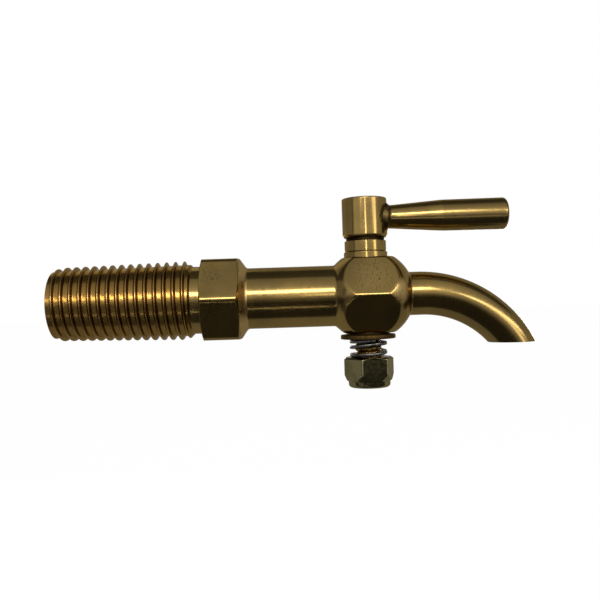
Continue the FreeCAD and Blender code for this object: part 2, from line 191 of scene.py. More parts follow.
class Finishes(PropertyGroup):
    brass: colour("Brass", "Polished brass", 0.29, 0.195, 0.062)
    olive: colour("Tarnish", "Brass where it has dulled", 0.22, 0.15, 0.052)
    edge: colour("Edge tint", "Metal seen at a grazing angle", 0.68, 0.61, 0.50)
    thread: colour("Thread", "Warmer brass of the tail", 0.30, 0.19, 0.065)
    # Painted shade: darker, warmer brass for the deep parts of the tail's grooves.
    groove: colour("Groove", "Brown grime between the tail's crests", 0.25, 0.147, 0.039)
    heat: colour("Heat stain", "Brass dulled by the heat of brazing", 0.44, 0.30, 0.115)
    braze: colour("Braze", "Dark scale round the lever's brazed joint", 0.05, 0.034, 0.013)
    pit: colour("Pit", "Grime in casting pits and scratches", 0.035, 0.024, 0.010)
    # Painted shade: a near-black colour for the gap under the ball above the washer, the groove under the
    # boss and the nut's top under the spring.
    painted_shade: colour("Grime", "Grime in the joints under the boss and above the washer", 0.012, 0.008, 0.003)
    washer: colour("Washer", "Dull brown brass", 0.085, 0.054, 0.018)
    steel: colour("Spring steel", "Bare steel wire", 0.17, 0.16, 0.15)
    zinc: colour("Passivated zinc", "Yellow-green plating of the lock nut", 0.24, 0.212, 0.098)
    # Partly real wear and partly a painted highlight: lighter zinc on the nut's edges and corners.
    worn_zinc_and_highlight: colour("Worn zinc", "Bare metal on the lock nut's edges", 0.42, 0.36, 0.20)
    nylon: colour("Nylon", "Locking ring in the nut", 0.62, 0.60, 0.52)


class StageSettings(PropertyGroup):
    floor_drop: length("Floor drop", "How far the floor lies below the tail's axis", 120.0)
    floor_colour: colour("Floor", "Plain pale floor", 0.9, 0.9, 0.9)
    camera_distance: length("Camera distance", "Distance from the tap's axis to the camera", 215.0)
    camera_across: length("Camera across", "Place of the camera along the tap", 28.9)
    camera_below: length("Camera below", "How far the camera lies below the tail's axis", 0.9)
    camera_roll: angle_size("Camera roll", "Tilt of the picture", 1.84)
    lens: FloatProperty(name="Lens", description="Focal length in millimetres", default=42.96, min=1.0)


def soft_min(first, second, blend):
    """The lesser of two radii, rounded where they meet."""
    gap = max(blend - abs(first - second), 0.0)
    return min(first, second) - gap * gap / (4 * blend)


def soft_max(first, second, blend):
    """The greater of two radii, rounded where they meet."""
    return -soft_min(-first, -second, blend)


def point_on(axle, along, radius):
    return axle.origin + axle.along * along + axle.side * radius


def start_piece(name):
    """Add a new mesh object that is one selected vertex at the origin, in edit mode."""
    bpy.ops.object.select_all(action="DESELECT")
    bpy.ops.mesh.primitive_plane_add(size=MM)
    piece = bpy.context.object
    piece.name = name
    piece.data.name = name
    bpy.ops.object.mode_set(mode="EDIT")
    bpy.ops.mesh.select_all(action="SELECT")
    bpy.ops.mesh.merge(type="CENTER")
    return piece


def draw_outline(axle, outline):
    """Extrude the one selected vertex along an outline of (along, radius) points."""
    places = [point_on(axle, along, radius) for along, radius in outline]
    bpy.ops.transform.translate(value=places[0])
    for before, place in zip(places, places[1:]):
        bpy.ops.mesh.extrude_vertices_move(TRANSFORM_OT_translate={"value": place - before})
    bpy.ops.mesh.select_all(action="SELECT")


def close_up():
    """Merge doubles, turn the faces outwards and leave edit mode."""
    bpy.ops.mesh.select_all(action="SELECT")
    bpy.ops.mesh.remove_doubles(threshold=MERGE)
    bpy.ops.mesh.normals_make_consistent(inside=False)
    bpy.ops.object.mode_set(mode="OBJECT")


def turn_piece(name, axle, outline, steps=TURNED_STEPS):
    """Turn an outline of (along, radius) points about an axle."""
    piece = start_piece(name)
    draw_outline(axle, outline)
    bpy.ops.mesh.spin(steps=steps, angle=math.tau, center=axle.origin, axis=axle.along)
    close_up()
    return piece


def round_sharp_edges(piece, size, segments=3, sharpness=math.radians(35)):
    """Bevel the edges of a turned piece where its faces meet at a sharp angle."""
    pick_only(piece)
    bpy.ops.object.mode_set(mode="EDIT")
    bpy.ops.mesh.select_mode(type="EDGE")
    bpy.ops.mesh.select_all(action="DESELECT")
    bpy.ops.mesh.edges_select_sharp(sharpness=sharpness)
    bpy.ops.mesh.bevel(offset=size, segments=segments, affect="EDGES")
    bpy.ops.mesh.select_mode(type="VERT")
    bpy.ops.object.mode_set(mode="OBJECT")


def pick_only(piece):
    bpy.ops.object.select_all(action="DESELECT")
    piece.select_set(True)
    bpy.context.view_layer.objects.active = piece


def edit_whole(piece):
    """Open a piece in edit mode with all of it selected."""
    pick_only(piece)
    bpy.ops.object.mode_set(mode="EDIT")
    bpy.ops.mesh.select_all(action="SELECT")


def cut_level(place, outward):
    """Cut off what lies beyond a plane and close the cut."""
    bpy.ops.mesh.select_all(action="SELECT")
    bpy.ops.mesh.bisect(
        plane_co=place, plane_no=outward, use_fill=True, clear_outer=True, threshold=MERGE)


def join_pieces(pieces):
    """Join pieces into the first one."""
    bpy.ops.object.select_all(action="DESELECT")
    for piece in pieces:
        piece.select_set(True)
    bpy.context.view_layer.objects.active = pieces[0]
    bpy.ops.object.join()
    return pieces[0]


def apply_modifier(piece, modifier):
    pick_only(piece)
    bpy.ops.object.modifier_apply(modifier=modifier.name)


def set_radii(piece, axle, radius_at, angle_at=None):
    """Move each vertex to the radius, and the angle, that a function gives for its place on the axle."""
    other = axle.along.cross(axle.side)
    for vertex in piece.data.vertices:
        offset = vertex.co - axle.origin
        along = offset.dot(axle.along)
        across = offset - axle.along * along
        radius = across.length
        if radius < MERGE:
            continue
        angle = math.atan2(across.dot(other), across.dot(axle.side))
        if angle_at:
            angle = angle_at(angle)
        radius = radius_at(along, angle, radius)
        direction = axle.side * math.cos(angle) + other * math.sin(angle)
        vertex.co = axle.origin + axle.along * along + direction * radius
    piece.data.update()


def gathered(angle, first_corner, share=0.8):
    """Move an angle towards the nearest corner of a hexagon, to give its rounding more columns."""
    return angle - share * math.sin(HEXAGON_SIDES * (angle - first_corner)) / HEXAGON_SIDES


def cut_flats(piece, axle, half_flats, first_corner, edge_round, corner_round, crown=0.0):
    """Cut six flats on a turned piece, bulging by a crown, with rounded edges and corners."""
    side = math.tau / HEXAGON_SIDES

    def turned_from_flat(angle):
        return (angle - first_corner) % side - side / 2

    def flat_at(turned):
        return half_flats - crown * (math.tan(turned) / math.tan(side / 2)) ** 2

    def flattened(along, angle, radius):
        turned = turned_from_flat(angle)
        return soft_min(radius, flat_at(turned) / math.cos(turned), edge_round)

    def rounded(along, angle, radius):
        turned = turned_from_flat(angle)
        here = radius * math.cos(turned)
        beside = radius * math.cos(side - abs(turned))
        overshoot = soft_max(here, beside, corner_round) - flat_at(turned)
        return radius - max(overshoot, 0.0)

    set_radii(piece, axle, flattened, lambda angle: gathered(angle, first_corner))
    set_radii(piece, axle, rounded)


def rounded_end(end, radius, size, direction, steps=8):
    """Points of a rounded edge from the side of a turned piece to its end face."""
    run_in = 1.1 * size
    points = [(end - direction * run_in, radius)]
    for number in range(steps + 1):
        angle = math.pi / 2 * number / steps
        along = end - direction * size * (1 - math.sin(angle))
        points.append((along, radius - size * (1 - math.cos(angle))))
    return points


def even_steps(start, end, count):
    return [start + (end - start) * number / count for number in range(count + 1)]


def sampled(radius_at, start, end, count):
    """Outline points at even steps, with the radius that a function gives."""
    return [(place, radius_at(place)) for place in even_steps(start, end, count)]


def smooth(piece, angle):
    pick_only(piece)
    bpy.ops.object.shade_smooth_by_angle(angle=angle)
    weighted = piece.modifiers.new("Even shading", "WEIGHTED_NORMAL")
    weighted.weight = 100
    weighted.keep_sharp = True
    apply_modifier(piece, weighted)


def wind_thread(name, axle, start, end, pitch, root, sharp_crest, steps):
    """Wind a right-handed V thread between two places on an axle through the origin."""
    cuts_per_flank = 11
    piece = start_piece(name)
    first = start - 2 * pitch
    draw_outline(axle, [(first, root / 2), (first + pitch / 2, sharp_crest / 2), (first + pitch, root / 2)])
    bpy.ops.mesh.subdivide(number_cuts=cuts_per_flank)
    bpy.ops.object.mode_set(mode="OBJECT")
    screw = piece.modifiers.new("Thread", "SCREW")
    screw.axis = "X" if axle.along.x > 0.5 else "Z"
    screw.angle = math.tau
    screw.screw_offset = pitch
    screw.iterations = math.ceil((end - start) / pitch) + 4
    screw.steps = steps
    screw.render_steps = steps
    screw.use_merge_vertices = True
    screw.merge_threshold = MERGE
    apply_modifier(piece, screw)
    return piece


def cut_ends(piece, axle, start, end):
    """Cut a wound piece square at both ends and close it."""
    edit_whole(piece)
    for place, outward in ((start, -1), (end, 1)):
        cut_level(point_on(axle, place, 0.0), axle.along * outward)
    close_up()


def cut_away(piece, cutter):
    """Cut one closed piece out of another and remove the cutter."""
    boolean = piece.modifiers.new("Cut", "BOOLEAN")
    boolean.operation = "DIFFERENCE"
    boolean.solver = "EXACT"
    boolean.object = cutter
    apply_modifier(piece, boolean)
    bpy.data.objects.remove(cutter)


def tail_taper(sizes):
    """Where the tail's taper starts and ends, and how fast its radius grows between them."""
    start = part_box("tap_body")[0].x + sizes.lead_length
    end = -sizes.neck_length - (sizes.collar_crest - sizes.neck) / 2
    growth = (sizes.collar_crest - sizes.end_crest) / 2 / (end - start)
    return start, end, growth


def make_tail(sizes):
    """The threaded tail: narrow crests and wide grooves on a taper, with a lead-in and a relief neck."""
    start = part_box("tap_body")[0].x
    overlap = 0.5 * MM
    taper_start, taper_end, growth = tail_taper(sizes)
    sharp = sizes.neck + sizes.pitch
    tail = wind_thread("tail", TAIL_AXLE, start, overlap, sizes.pitch, sizes.neck, sharp, THREAD_STEPS)

    def taper_at(along):
        return sizes.end_crest / 2 + growth * (along - taper_start)

    def crest_at(along):
        if along < taper_start:
            share = (along - start) / sizes.lead_length
            return (sizes.lead + (sizes.end_crest - sizes.lead) * share) / 2
        return min(taper_at(along), max(taper_at(taper_end) - (along - taper_end), sizes.neck / 2))

    def radius_at(along, angle, radius):
        from_crest = sharp / 2 - radius
        crest = crest_at(along)
        groove = min(taper_at(along) - sizes.depth, crest)
        flank = crest - sizes.depth * (from_crest - sizes.crest_width / 2) / sizes.flank_width
        ridge = soft_min(flank, crest, sizes.crest_round)
        return min(soft_max(ridge, groove, sizes.groove_round), crest)

    set_radii(tail, TAIL_AXLE, radius_at)
    cut_ends(tail, TAIL_AXLE, start, overlap)
    return tail


def make_bore(sizes):
    """Cutter for the inlet bore and its chamfered mouth."""
    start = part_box("tap_body")[0].x
    outside = 1.0 * MM
    depth = 60.0 * MM
    radius = sizes.bore / 2
    mouth = radius + sizes.bore_chamfer
    return turn_piece("bore", TAIL_AXLE, [
        (start - outside, 0.0),
        (start - outside, mouth),
        (start, mouth),
        (start + sizes.bore_chamfer, radius),
        (start + depth, radius),
        (start + depth, 0.0),
    ])


def barrel_end(sizes):
    """Where the barrel's mesh ends and the ball's begins."""
    return PLUG_X + sizes.ball_ahead - sizes.ball / 2


def make_collar(sizes):
    """The hexagon collar with its cone, and the barrel, from one turned outline."""
    corner = sizes.collar_flats / math.sqrt(3)
    flat = sizes.collar_flats / 2
    barrel = sizes.barrel / 2
    chamfer_slope = (corner - flat) / sizes.corner_chamfer
    cone_slope = (flat - barrel) / sizes.shoulder
    cone_end = sizes.collar_length + sizes.shoulder
    edge = 0.15 * MM
    blend = 0.25 * MM
    foot_round = 0.8 * MM
    face_end = 1.0 * MM
    flats_end = 10.0 * MM
    foot = cone_end + foot_round

    def radius_at(along):
        left = flat + chamfer_slope * along
        right = flat + chamfer_slope * (sizes.collar_length - along)
        cone = flat + cone_slope * (sizes.collar_length - along)
        radius = soft_min(left, soft_max(right, cone, blend), blend)
        return soft_max(soft_min(radius, corner, blend), barrel, foot_round)

    outline = [(0.0, 0.0), (0.0, 0.6 * flat), (0.0, flat - edge)]
    outline += sampled(radius_at, 0.3 * edge, face_end, 12)
    outline += sampled(radius_at, face_end, flats_end, 12)[1:]
    outline += sampled(radius_at, flats_end, foot, 40)[1:]
    outline += [(place, barrel) for place in even_steps(foot, barrel_end(sizes), 10)[1:]]
    outline.append((barrel_end(sizes), 0.0))
    collar = turn_piece("collar", TAIL_AXLE, outline, FLATS_STEPS)
    cut_flats(collar, TAIL_AXLE, flat, math.pi / 2, sizes.edge_round, sizes.collar_corner, sizes.crown)
    return collar


def make_ball(sizes, spout_root):
    """The plug housing: a ball turned from hexagon bar, with fillets at its ends and two rings."""
    radius = sizes.ball / 2
    middle = PLUG_X + sizes.ball_ahead
    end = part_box("tap_body")[1].x
    braze = 0.6 * MM

    def radius_at(along):
        ball = math.sqrt(max(radius ** 2 - (along - middle) ** 2, 0.0))
        smallest = sizes.barrel / 2 if along < middle else spout_root / 2
        return soft_max(ball, smallest, sizes.fillet)

    outline = [(barrel_end(sizes), 0.0)]
    outline += sampled(radius_at, barrel_end(sizes), end + braze, 90)
    outline.append((end + braze, 0.0))
    ball = turn_piece("ball", TAIL_AXLE, outline, FLATS_STEPS)
    half_flats = sizes.ball_flats / 2
    cut_flats(ball, TAIL_AXLE, half_flats, math.pi / 2, sizes.edge_round, sizes.ball_corner, sizes.crown)
    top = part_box("tap_body")[1].z
    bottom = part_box("tension_washer")[1].z
    rings = turn_piece("rings", PLUG_AXLE, [
        (bottom, 0.0),
        (bottom, sizes.lower_ring / 2),
        (0.0, sizes.lower_ring / 2),
        (0.0, sizes.seat_ring / 2),
        (top, sizes.seat_ring / 2),
        (top, 0.0),
    ])
    round_sharp_edges(rings, TURNED_EDGE, 2)
    return join_pieces([ball, rings])


def make_spout(sizes):
    """A tube bent down from the ball, tapering to its mouth and cut level."""
    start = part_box("spout")[0].x
    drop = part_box("spout")[0].z
    bend_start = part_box("tap_body")[1].x + sizes.straight
    centre = Vector((bend_start, 0, -sizes.bend))
    turn = math.radians(68.0)
    outline_steps = 72
    bend_steps = 64
    bpy.ops.object.select_all(action="DESELECT")
    bpy.ops.mesh.primitive_circle_add(
        vertices=outline_steps, radius=sizes.root / 2, location=(start, 0, 0), rotation=(0, math.pi / 2, 0))
    spout = bpy.context.object
    spout.name = "spout_tube"
    bpy.ops.object.transform_apply(location=True, rotation=True, scale=True)
    bpy.ops.object.mode_set(mode="EDIT")
    bpy.ops.mesh.select_all(action="SELECT")
    bpy.ops.mesh.extrude_edges_move(TRANSFORM_OT_translate={"value": (bend_start - start, 0, 0)})
    bpy.ops.mesh.spin(steps=bend_steps, angle=-turn, center=centre, axis=(0, 1, 0))
    bpy.ops.mesh.select_all(action="SELECT")
    bpy.ops.mesh.remove_doubles(threshold=MERGE)
    bpy.ops.object.mode_set(mode="OBJECT")
    for vertex in spout.data.vertices:
        offset = vertex.co - centre
        angle = math.atan2(offset.x, offset.z)
        if angle <= 0:
            continue
        middle = centre + Vector((math.sin(angle), 0, math.cos(angle))) * sizes.bend
        share = 1 + (sizes.tip / sizes.root - 1) * angle / turn
        vertex.co = middle + (vertex.co - middle) * share
    bpy.ops.object.mode_set(mode="EDIT")
    close_up()
    wall = spout.modifiers.new("Wall", "SOLIDIFY")
    wall.thickness = sizes.wall
    wall.offset = -1.0
    apply_modifier(spout, wall)
    edit_whole(spout)
    cut_level((0, 0, drop), (0, 0, -1))
    bpy.ops.object.mode_set(mode="OBJECT")
    return spout


def make_boss(sizes):
    """The plug's neck, groove and boss above the seat ring."""
    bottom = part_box("tap_body")[1].z + sizes.neck_gap
    groove = bottom + sizes.neck_height
    boss_bottom = groove + sizes.groove_height
    boss_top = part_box("plug")[1].z
    hidden = 3.0 * MM
    neck = turn_piece("neck", PLUG_AXLE, [
        (bottom - hidden, 0.0),
        (bottom - hidden, sizes.groove / 2),
        (bottom, sizes.groove / 2),
        (bottom, sizes.neck / 2),
        (groove, sizes.neck / 2),
        (groove, sizes.groove / 2),
        (boss_bottom, sizes.groove / 2),
        (boss_bottom, 0.0),
    ])
    round_sharp_edges(neck, TURNED_EDGE)
    lower_edge = rounded_end(boss_bottom, sizes.boss / 2, sizes.boss_lower_round, -1)
    upper_edge = rounded_end(boss_top, sizes.boss / 2, sizes.boss_upper_round, 1)
    outline = [(boss_bottom, 0.0)] + lower_edge[::-1] + upper_edge + [(boss_top, 0.0)]
    boss = turn_piece("boss", PLUG_AXLE, outline)
    return join_pieces([boss, neck])


def make_stud(sizes):
    """The threaded stud under the ball."""
    hidden = 1.0 * MM
    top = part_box("tension_washer")[1].z + hidden
    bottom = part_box("plug")[0].z
    chamfer = 0.8 * MM
    crest_round = 0.08 * MM
    sharp = sizes.stud + 0.4 * MM
    steps = 48
    stud = wind_thread("stud", STUD_AXLE, bottom, top, sizes.stud_pitch, sizes.stud_root, sharp, steps)

    def radius_at(along, angle, radius):
        limit = sizes.stud / 2 - max(bottom + chamfer - along, 0.0)
        return soft_min(radius, limit, crest_round)

    set_radii(stud, STUD_AXLE, radius_at)
    cut_ends(stud, STUD_AXLE, bottom, top)
    for vertex in stud.data.vertices:
        vertex.co.x += PLUG_X
    return stud


def make_lever(sizes):
    """The lever: a turned handle that flares to its grip, brazed to the boss."""
    root = PLUG_X + sizes.boss / 2
    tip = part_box("lever")[1].x
    flare = PLUG_X + sizes.lever_flare_reach
    hidden = 3.2 * MM
    braze_end = root + sizes.braze_length
    outline = [(root - hidden, 0.0), (root - hidden, sizes.braze / 2)]
    for place in even_steps(root, braze_end, 12):
        share = (braze_end - place) / sizes.braze_length
        outline.append((place, (sizes.lever_root + (sizes.braze - sizes.lever_root) * share ** 2) / 2))
    for place in even_steps(braze_end, flare, 8)[1:]:
        share = (place - braze_end) / (flare - braze_end)
        outline.append((place, (sizes.lever_root + (sizes.lever_flare - sizes.lever_root) * share) / 2))
    outline += rounded_end(tip, sizes.lever_tip / 2, sizes.lever_tip_round, 1)
    outline.append((tip, 0.0))
    return turn_piece("lever_handle", LEVER_AXLE, outline)


def make_washer(sizes):
    low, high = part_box("tension_washer")
    outside = (high.x - low.x) / 2
    washer = turn_piece("washer", PLUG_AXLE, [
        (low.z, sizes.washer_hole / 2),
        (low.z, outside),
        (high.z, outside),
        (high.z, sizes.washer_hole / 2),
        (low.z, sizes.washer_hole / 2),
    ])
    edge_round = 0.22 * MM
    round_sharp_edges(washer, edge_round)
    return washer


def make_spring(sizes):
    """Flat wire coiled with a low lower end, an open middle turn and a nearly closed upper turn."""
    low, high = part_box("spring")
    steps_per_turn = 48
    corner_round = 0.28 * MM
    # Pitch and turns of each run of the coil from the bottom, where the open run takes the height left
    runs = ((0.6 * MM, 0.55), (None, 1.0), (1.1 * MM, 1.0))
    closed_rise = sum(pitch * turns for pitch, turns in runs if pitch)
    open_pitch = high.z - low.z - sizes.wire_height - closed_rise
    radius = (high.x - low.x) / 2 - sizes.wire_width / 2
    bpy.ops.object.select_all(action="DESELECT")
    bpy.ops.mesh.primitive_plane_add(
        size=1.0, location=(PLUG_X, radius, low.z + sizes.wire_height / 2), rotation=(0, math.pi / 2, 0))
    spring = bpy.context.object
    spring.name = "spring_coil"
    spring.scale = (sizes.wire_height, sizes.wire_width, 1.0)
    bpy.ops.object.transform_apply(location=True, rotation=True, scale=True)
    bpy.ops.object.mode_set(mode="EDIT")
    bpy.ops.mesh.select_all(action="SELECT")
    for pitch, turns in runs:
        steps = round(steps_per_turn * turns)
        rise = (pitch or open_pitch) * turns / steps
        for _ in range(steps):
            bpy.ops.mesh.extrude_region_move(TRANSFORM_OT_translate={"value": (0, 0, rise)})
            bpy.ops.transform.rotate(
                value=-math.tau * turns / steps, orient_axis="Z", center_override=(PLUG_X, 0, 0))
    close_up()
    bevel = spring.modifiers.new("Wire corners", "BEVEL")
    bevel.width = corner_round
    bevel.segments = 3
    bevel.limit_method = "ANGLE"
    bevel.angle_limit = math.radians(50)
    apply_modifier(spring, bevel)
    return spring


def make_nut(sizes):
    """The lock nut: a hexagon with turned corners and a round collar for its insert."""
    low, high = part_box("lock_nut")
    insert_low, insert_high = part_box("nut_insert")
    corner = sizes.nut_flats / math.sqrt(3)
    flat = sizes.nut_flats / 2
    collar = sizes.nut_collar / 2
    hex_bottom = low.z + sizes.nut_collar_height
    upper_slope = (corner - flat) / sizes.nut_upper_chamfer
    lower_slope = (corner - flat) / sizes.nut_lower_chamfer
    bore = sizes.stud / 2 + NUT_CLEARANCE
    lip = bore + 0.5 * MM
    pocket = (insert_high.x - insert_low.x) / 2 + 0.02 * MM
    blend = 0.15 * MM
    margin = 0.05 * MM

    def radius_at(along):
        upper = flat + upper_slope * (high.z - along)
        lower = flat + lower_slope * (along - hex_bottom)
        return soft_min(soft_min(upper, lower, blend), corner, blend)

    outline = [(high.z, bore), (high.z, 0.5 * (bore + flat)), (high.z, flat - 2 * blend)]
    outline += sampled(radius_at, high.z - margin, hex_bottom + margin, 60)
    outline.append((hex_bottom - 2 * margin, collar))
    outline += rounded_end(low.z, collar, sizes.nut_collar_round, -1)
    outline += [(low.z, lip), (insert_low.z, lip), (insert_low.z, pocket), (insert_high.z, pocket)]
    outline += [(insert_high.z, bore), (high.z, bore)]
    nut = turn_piece("nut", PLUG_AXLE, outline, NUT_STEPS)
    cut_flats(nut, PLUG_AXLE, flat, sizes.nut_turn, blend, sizes.nut_corner)
    return nut


def make_insert(sizes):
    low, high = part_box("nut_insert")
    outside = (high.x - low.x) / 2
    hole = sizes.stud / 2 + NUT_CLEARANCE
    insert = turn_piece("insert", PLUG_AXLE, [
        (low.z, hole), (low.z, outside), (high.z, outside), (high.z, hole), (low.z, hole)])
    edge_round = 0.1 * MM
    round_sharp_edges(insert, edge_round, 2)
    return insert


def add_node(tree, kind, settings=None, inputs=None):
    """Add a node, set its options, and set or link its inputs."""
    made = tree.nodes.new(kind)
    for key, value in (settings or {}).items():
        setattr(made, key, value)
    for key, value in (inputs or {}).items():
        socket = made.inputs[key]
        if isinstance(value, bpy.types.NodeSocket):
            tree.links.new(value, socket)
        else:
            socket.default_value = value
    return made


def mix_colours(tree, factor, first, second):
    """Mix two colours, each a colour or a socket."""
    mix = add_node(tree, "ShaderNodeMix", {"data_type": "RGBA"}, {0: factor, 6: first, 7: second})
    return mix.outputs[2]


def darkened(base_colour, share):
    return tuple(share * channel for channel in base_colour[:3]) + (1.0,)


def noise(tree, place, scale, detail=4.0, roughness=0.55):
    made = add_node(tree, "ShaderNodeTexNoise", None, {
        "Vector": place, "Scale": scale, "Detail": detail, "Roughness": roughness})
    return made.outputs["Fac"]


def ranged(tree, value, low, high, to_low=0.0, to_high=1.0):
    """Map a value from one range to another, smoothly and clamped."""
    made = add_node(tree, "ShaderNodeMapRange", {"interpolation_type": "SMOOTHSTEP"}, {
        "Value": value, "From Min": low, "From Max": high, "To Min": to_low, "To Max": to_high})
    return made.outputs["Result"]


def maths(tree, operation, first, second):
    return add_node(tree, "ShaderNodeMath", {"operation": operation}, {0: first, 1: second}).outputs[0]


def times(tree, first, second):
    return maths(tree, "MULTIPLY", first, second)


def vector_maths(tree, operation, first, second=(0.0, 0.0, 0.0)):
    return add_node(tree, "ShaderNodeVectorMath", {"operation": operation}, {0: first, 1: second})


def place_on(tree, place, axis):
    return add_node(tree, "ShaderNodeSeparateXYZ", None, {0: place}).outputs[axis]


def set_surface(tree, surface, output="ShaderNodeOutputMaterial"):
    tree.links.new(surface, add_node(tree, output).inputs["Surface"])


def stretched(tree, place, scale):
    return add_node(tree, "ShaderNodeMapping", None, {"Vector": place, "Scale": scale}).outputs["Vector"]


def near(tree, place, point, inner, outer):
    """1 close to a point, falling to 0 at the outer distance."""
    gap = vector_maths(tree, "DISTANCE", place, point).outputs["Value"]
    return ranged(tree, gap, inner, outer, 1.0, 0.0)


def start_material(name):
    material = bpy.data.materials.new(name)
    material.use_nodes = True
    tree = material.node_tree
    tree.nodes.clear()
    place = add_node(tree, "ShaderNodeTexCoord").outputs["Object"]
    return material, tree, place


def finish_metal(tree, base, edge, roughness, height, strength, distance):
    """Join the colour, roughness and bump into a metal surface."""
    bump = add_node(tree, "ShaderNodeBump", None, {
        "Strength": strength, "Distance": distance, "Height": height})
    surface = add_node(tree, "ShaderNodeBsdfPrincipled", None, {
        "Base Color": base, "Metallic": 1.0, "Roughness": roughness, "Specular Tint": edge,
        "Normal": bump.outputs["Normal"]})
    set_surface(tree, surface.outputs["BSDF"])


def radius_about(tree, place, centre, across):
    """Distance from an axis through a centre; across is 1 in the directions square to the axis."""
    offset = vector_maths(tree, "SUBTRACT", place, centre).outputs["Vector"]
    flat = vector_maths(tree, "MULTIPLY", offset, across).outputs["Vector"]
    return vector_maths(tree, "LENGTH", flat).outputs["Value"]


def between_places(tree, value, low, high, blend):
    """1 between two values, falling to 0 over a blend outside them."""
    rise = ranged(tree, value, low - blend, low)
    return times(tree, rise, ranged(tree, value, high, high + blend, 1.0, 0.0))


def joined(tree, shares):
    """The greatest of several shares."""
    whole = shares[0]
    for share in shares[1:]:
        whole = maths(tree, "MAXIMUM", whole, share)
    return whole


def broken_up(tree, place, share, scale, bare=0.2, full=0.52):
    """Give a share a ragged, speckled edge, from bare specks to full ones."""
    ragged = times(tree, share, noise(tree, place, scale, 6.0, 0.7))
    return ranged(tree, ragged, bare, full)


class Brass:
    """Layers of one brass surface: colour, roughness and height, laid over each other."""

    def __init__(self, name, finishes, roughness_range, polish):
        self.material, self.tree, self.place = start_material(name)
        self.finishes = finishes
        tree = self.tree
        clouds = ranged(tree, noise(tree, self.place, 70.0, 5.0), 0.38, 0.66)
        self.base = mix_colours(tree, clouds, finishes.brass, finishes.olive)
        lines = noise(tree, stretched(tree, self.place, polish), 1.0, 3.0)
        grain = noise(tree, self.place, 1400.0, 3.0)
        low, high = roughness_range
        self.roughness = ranged(tree, times(tree, lines, grain), 0.12, 0.42, low, high)
        waves = noise(tree, self.place, 160.0, 2.0)
        line_height = 0.05
        wave_height = 0.15
        self.height = maths(tree, "ADD", times(tree, lines, line_height), times(tree, waves, wave_height))

    def lay(self, share, layer_colour, rougher=0.0, lower=0.0):
        """Lay a colour over a share of the surface, rougher and lower than the rest."""
        tree = self.tree
        self.base = mix_colours(tree, share, self.base, layer_colour)
        if rougher:
            self.roughness = maths(tree, "ADD", self.roughness, times(tree, share, rougher))
        if lower:
            self.height = maths(tree, "SUBTRACT", self.height, times(tree, share, lower))

    def near_points(self, points):
        """1 close to any of several points, each given with its inner and outer distance."""
        return joined(self.tree, [near(self.tree, self.place, *point) for point in points])

    def pit(self, points, strength):
        """Casting pits, drawn out round the axis, in patches."""
        tree = self.tree
        specks = noise(tree, stretched(tree, self.place, (2.2, 0.8, 0.65)), 1500.0, 2.0)
        patches = times(tree, self.near_points(points), strength)
        pits = times(tree, ranged(tree, specks, 0.57, 0.66), patches)
        self.lay(pits, self.finishes.pit, 0.3, 1.0)

    def scale(self):
        """Dark speckled scale round the lever's brazed joint."""
        tree = self.tree
        along = place_on(tree, self.place, "X")
        share = self.near_points(((FINISH_PLACES["lever joint"], 3.4 * MM, 5.0 * MM),))
        share = times(tree, share, ranged(tree, along, 56.6 * MM, 57.2 * MM, 1.0, 0.0))
        self.lay(broken_up(tree, self.place, share, 2600.0, 0.29, 0.53), self.finishes.braze, 0.2, 3.0)

    def finish(self):
        bump_strength = 0.25
        bump_height = 0.05 * MM
        edge = self.finishes.edge
        finish_metal(self.tree, self.base, edge, self.roughness, self.height, bump_strength, bump_height)
        return self.material


def body_material(finishes, tail, collar_length):
    """Cast brass with a warm threaded tail, pits, and heat stains beside the collar and the spout, with
    painted shade deep in the tail's grooves and on the lower ring between the ball and the washer.
    """
    brass = Brass("cast brass", finishes, (0.15, 0.22), (2500.0, 150.0, 150.0))
    tree = brass.tree
    radius = radius_about(tree, brass.place, (0.0, 0.0, 0.0), (0.0, 1.0, 1.0))
    along = place_on(tree, brass.place, "X")
    on_tail = ranged(tree, along, -tail.neck_length - 0.4 * MM, -tail.neck_length, 1.0, 0.0)
    thread_roughness = 0.04
    brass.lay(on_tail, finishes.thread, thread_roughness)
    taper_start, _, growth = tail_taper(tail)
    crest = tail.end_crest / 2 - growth * taper_start
    level = maths(tree, "SUBTRACT", radius, times(tree, along, growth))
    # Painted shade: darker brass deeper in the tail's grooves.
    depth = ranged(tree, level, crest - 0.85 * tail.depth, crest - 0.25 * tail.depth, 1.0, 0.0)
    brass.lay(times(tree, depth, on_tail), finishes.groove)
    # Painted shade on the lower ring, in the gap between the ball and the washer.
    upward = place_on(tree, brass.place, "Z")
    under = near(tree, brass.place, (PLUG_X, 0.0, -12.0 * MM), 6.4 * MM, 7.2 * MM)
    under = times(tree, under, ranged(tree, upward, -11.2 * MM, -10.6 * MM, 1.0, 0.0))
    brass.lay(under, finishes.painted_shade, 0.2)
    warm = brass.near_points(((FINISH_PLACES["ball top"], 1.0 * MM, 8.0 * MM),))
    brass.lay(times(tree, warm, 0.35), finishes.heat)
    brass.pit((
        (FINISH_PLACES["ball top"], 4.5 * MM, 7.5 * MM),
        (FINISH_PLACES["collar flat"], 2.0 * MM, 5.0 * MM),
        (FINISH_PLACES["barrel top"], 2.0 * MM, 6.0 * MM),
    ), 0.75)
    cone = between_places(tree, along, collar_length + 0.3 * MM, collar_length + 2.2 * MM, 0.5 * MM)
    beside_spout = brass.near_points(((FINISH_PLACES["spout joint"], 2.0 * MM, 5.5 * MM),))
    ring = between_places(tree, along, 60.0 * MM, 62.0 * MM, 1.2 * MM)
    heated = joined(tree, (cone, beside_spout, times(tree, ring, 0.6)))
    brass.lay(broken_up(tree, brass.place, heated, 420.0), finishes.heat, 0.13)
    return brass.finish()


